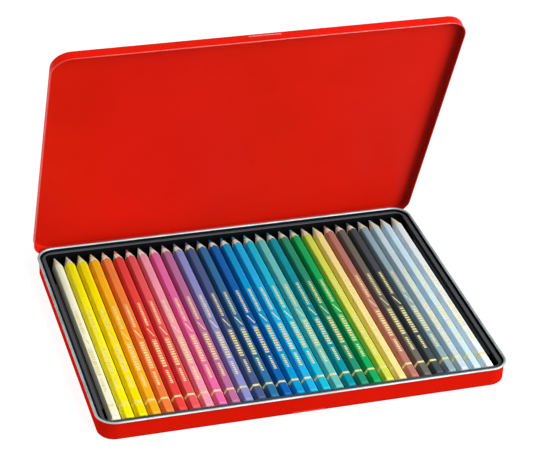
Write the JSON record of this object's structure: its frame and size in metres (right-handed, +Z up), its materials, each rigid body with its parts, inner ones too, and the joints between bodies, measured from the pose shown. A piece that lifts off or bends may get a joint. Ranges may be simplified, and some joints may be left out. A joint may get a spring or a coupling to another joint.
{
  "type": "hinged pencil tin",
  "caption": "Flat hinged metal tin with rounded corners, holding a single row of sharpened hexagonal colour pencils in a moulded tray.",
  "frame": {"origin": "centre of the base tin's underside", "axes": "+Z up, +Y towards the hinged side, +X along the hinge to the right when seen from the front"},
  "size_m": [0.2576, 0.1971, 0.1898],
  "materials": {
    "tin_red": "glossy red lacquer on tinplate, bare at the rolled rim",
    "pin_wire": "drawn wire",
    "tray_black": "formed sheet with a soft sheen",
    "lacquer_ivory": "gloss lacquer over cedar, lead of the same colour",
    "lacquer_lemon": "gloss lacquer over cedar, lead of the same colour",
    "lacquer_yellow": "gloss lacquer over cedar, lead of the same colour",
    "lacquer_golden": "gloss lacquer over cedar, lead of the same colour",
    "lacquer_orange": "gloss lacquer over cedar, lead of the same colour",
    "lacquer_scarlet": "gloss lacquer over cedar, lead of the same colour",
    "lacquer_crimson": "gloss lacquer over cedar, lead of the same colour",
    "lacquer_pink": "gloss lacquer over cedar, lead of the same colour",
    "lacquer_magenta_pink": "gloss lacquer over cedar, lead of the same colour",
    "lacquer_mauve": "gloss lacquer over cedar, lead of the same colour",
    "lacquer_lavender": "gloss lacquer over cedar, lead of the same colour",
    "lacquer_night_violet": "gloss lacquer over cedar, lead of the same colour",
    "lacquer_indigo": "gloss lacquer over cedar, lead of the same colour",
    "lacquer_royal_blue": "gloss lacquer over cedar, lead of the same colour",
    "lacquer_bright_blue": "gloss lacquer over cedar, lead of the same colour",
    "lacquer_light_blue": "gloss lacquer over cedar, lead of the same colour",
    "lacquer_cyan_blue": "gloss lacquer over cedar, lead of the same colour",
    "lacquer_turquoise": "gloss lacquer over cedar, lead of the same colour",
    "lacquer_teal": "gloss lacquer over cedar, lead of the same colour",
    "lacquer_dark_green": "gloss lacquer over cedar, lead of the same colour",
    "lacquer_green": "gloss lacquer over cedar, lead of the same colour",
    "lacquer_yellow_green": "gloss lacquer over cedar, lead of the same colour",
    "lacquer_naples_yellow": "gloss lacquer over cedar, lead of the same colour",
    "lacquer_russet": "gloss lacquer over cedar, lead of the same colour",
    "lacquer_olive_brown": "gloss lacquer over cedar, lead of the same colour",
    "lacquer_black": "gloss lacquer over cedar, lead of the same colour",
    "lacquer_grey_blue": "gloss lacquer over cedar, lead of the same colour",
    "lacquer_light_grey": "gloss lacquer over cedar, lead of the same colour",
    "lacquer_ice_blue": "gloss lacquer over cedar, lead of the same colour",
    "lacquer_white": "gloss lacquer over cedar, lead of the same colour"
  },
  "bodies": {
    "base": {"base_tin": "tin_red"},
    "lid": {"lid": "tin_red", "hinge_pin_left": "pin_wire", "hinge_pin_right": "pin_wire"},
    "tray": {"tray": "tray_black"},
    "pencil_01": {"pencil_01": "lacquer_ivory"},
    "pencil_02": {"pencil_02": "lacquer_lemon"},
    "pencil_03": {"pencil_03": "lacquer_yellow"},
    "pencil_04": {"pencil_04": "lacquer_golden"},
    "pencil_05": {"pencil_05": "lacquer_orange"},
    "pencil_06": {"pencil_06": "lacquer_scarlet"},
    "pencil_07": {"pencil_07": "lacquer_crimson"},
    "pencil_08": {"pencil_08": "lacquer_pink"},
    "pencil_09": {"pencil_09": "lacquer_magenta_pink"},
    "pencil_10": {"pencil_10": "lacquer_mauve"},
    "pencil_11": {"pencil_11": "lacquer_lavender"},
    "pencil_12": {"pencil_12": "lacquer_night_violet"},
    "pencil_13": {"pencil_13": "lacquer_indigo"},
    "pencil_14": {"pencil_14": "lacquer_royal_blue"},
    "pencil_15": {"pencil_15": "lacquer_bright_blue"},
    "pencil_16": {"pencil_16": "lacquer_light_blue"},
    "pencil_17": {"pencil_17": "lacquer_cyan_blue"},
    "pencil_18": {"pencil_18": "lacquer_turquoise"},
    "pencil_19": {"pencil_19": "lacquer_teal"},
    "pencil_20": {"pencil_20": "lacquer_dark_green"},
    "pencil_21": {"pencil_21": "lacquer_green"},
    "pencil_22": {"pencil_22": "lacquer_yellow_green"},
    "pencil_23": {"pencil_23": "lacquer_naples_yellow"},
    "pencil_24": {"pencil_24": "lacquer_russet"},
    "pencil_25": {"pencil_25": "lacquer_olive_brown"},
    "pencil_26": {"pencil_26": "lacquer_black"},
    "pencil_27": {"pencil_27": "lacquer_grey_blue"},
    "pencil_28": {"pencil_28": "lacquer_light_grey"},
    "pencil_29": {"pencil_29": "lacquer_ice_blue"},
    "pencil_30": {"pencil_30": "lacquer_white"}
  },
  "joints": [
    {"name": "lid_hinge", "type": "hinge", "parent": "base", "child": "lid", "pos_m": [0, 0.0965, 0.009], "axis": [-1, 0, 0], "range_deg": [-68, 112]},
    {"name": "tray_lift", "type": "slide", "parent": "base", "child": "tray", "axis": [0, 0, 1], "range_m": [0, 0.014]},
    {"name": "pencil_01_lift", "type": "slide", "parent": "tray", "child": "pencil_01", "axis": [0, 0, 1], "range_m": [0, 0.025]},
    {"name": "pencil_02_lift", "type": "slide", "parent": "tray", "child": "pencil_02", "axis": [0, 0, 1], "range_m": [0, 0.025]},
    {"name": "pencil_03_lift", "type": "slide", "parent": "tray", "child": "pencil_03", "axis": [0, 0, 1], "range_m": [0, 0.025]},
    {"name": "pencil_04_lift", "type": "slide", "parent": "tray", "child": "pencil_04", "axis": [0, 0, 1], "range_m": [0, 0.025]},
    {"name": "pencil_05_lift", "type": "slide", "parent": "tray", "child": "pencil_05", "axis": [0, 0, 1], "range_m": [0, 0.025]},
    {"name": "pencil_06_lift", "type": "slide", "parent": "tray", "child": "pencil_06", "axis": [0, 0, 1], "range_m": [0, 0.025]},
    {"name": "pencil_07_lift", "type": "slide", "parent": "tray", "child": "pencil_07", "axis": [0, 0, 1], "range_m": [0, 0.025]},
    {"name": "pencil_08_lift", "type": "slide", "parent": "tray", "child": "pencil_08", "axis": [0, 0, 1], "range_m": [0, 0.025]},
    {"name": "pencil_09_lift", "type": "slide", "parent": "tray", "child": "pencil_09", "axis": [0, 0, 1], "range_m": [0, 0.025]},
    {"name": "pencil_10_lift", "type": "slide", "parent": "tray", "child": "pencil_10", "axis": [0, 0, 1], "range_m": [0, 0.025]},
    {"name": "pencil_11_lift", "type": "slide", "parent": "tray", "child": "pencil_11", "axis": [0, 0, 1], "range_m": [0, 0.025]},
    {"name": "pencil_12_lift", "type": "slide", "parent": "tray", "child": "pencil_12", "axis": [0, 0, 1], "range_m": [0, 0.025]},
    {"name": "pencil_13_lift", "type": "slide", "parent": "tray", "child": "pencil_13", "axis": [0, 0, 1], "range_m": [0, 0.025]},
    {"name": "pencil_14_lift", "type": "slide", "parent": "tray", "child": "pencil_14", "axis": [0, 0, 1], "range_m": [0, 0.025]},
    {"name": "pencil_15_lift", "type": "slide", "parent": "tray", "child": "pencil_15", "axis": [0, 0, 1], "range_m": [0, 0.025]},
    {"name": "pencil_16_lift", "type": "slide", "parent": "tray", "child": "pencil_16", "axis": [0, 0, 1], "range_m": [0, 0.025]},
    {"name": "pencil_17_lift", "type": "slide", "parent": "tray", "child": "pencil_17", "axis": [0, 0, 1], "range_m": [0, 0.025]},
    {"name": "pencil_18_lift", "type": "slide", "parent": "tray", "child": "pencil_18", "axis": [0, 0, 1], "range_m": [0, 0.025]},
    {"name": "pencil_19_lift", "type": "slide", "parent": "tray", "child": "pencil_19", "axis": [0, 0, 1], "range_m": [0, 0.025]},
    {"name": "pencil_20_lift", "type": "slide", "parent": "tray", "child": "pencil_20", "axis": [0, 0, 1], "range_m": [0, 0.025]},
    {"name": "pencil_21_lift", "type": "slide", "parent": "tray", "child": "pencil_21", "axis": [0, 0, 1], "range_m": [0, 0.025]},
    {"name": "pencil_22_lift", "type": "slide", "parent": "tray", "child": "pencil_22", "axis": [0, 0, 1], "range_m": [0, 0.025]},
    {"name": "pencil_23_lift", "type": "slide", "parent": "tray", "child": "pencil_23", "axis": [0, 0, 1], "range_m": [0, 0.025]},
    {"name": "pencil_24_lift", "type": "slide", "parent": "tray", "child": "pencil_24", "axis": [0, 0, 1], "range_m": [0, 0.025]},
    {"name": "pencil_25_lift", "type": "slide", "parent": "tray", "child": "pencil_25", "axis": [0, 0, 1], "range_m": [0, 0.025]},
    {"name": "pencil_26_lift", "type": "slide", "parent": "tray", "child": "pencil_26", "axis": [0, 0, 1], "range_m": [0, 0.025]},
    {"name": "pencil_27_lift", "type": "slide", "parent": "tray", "child": "pencil_27", "axis": [0, 0, 1], "range_m": [0, 0.025]},
    {"name": "pencil_28_lift", "type": "slide", "parent": "tray", "child": "pencil_28", "axis": [0, 0, 1], "range_m": [0, 0.025]},
    {"name": "pencil_29_lift", "type": "slide", "parent": "tray", "child": "pencil_29", "axis": [0, 0, 1], "range_m": [0, 0.025]},
    {"name": "pencil_30_lift", "type": "slide", "parent": "tray", "child": "pencil_30", "axis": [0, 0, 1], "range_m": [0, 0.025]}
  ]
}
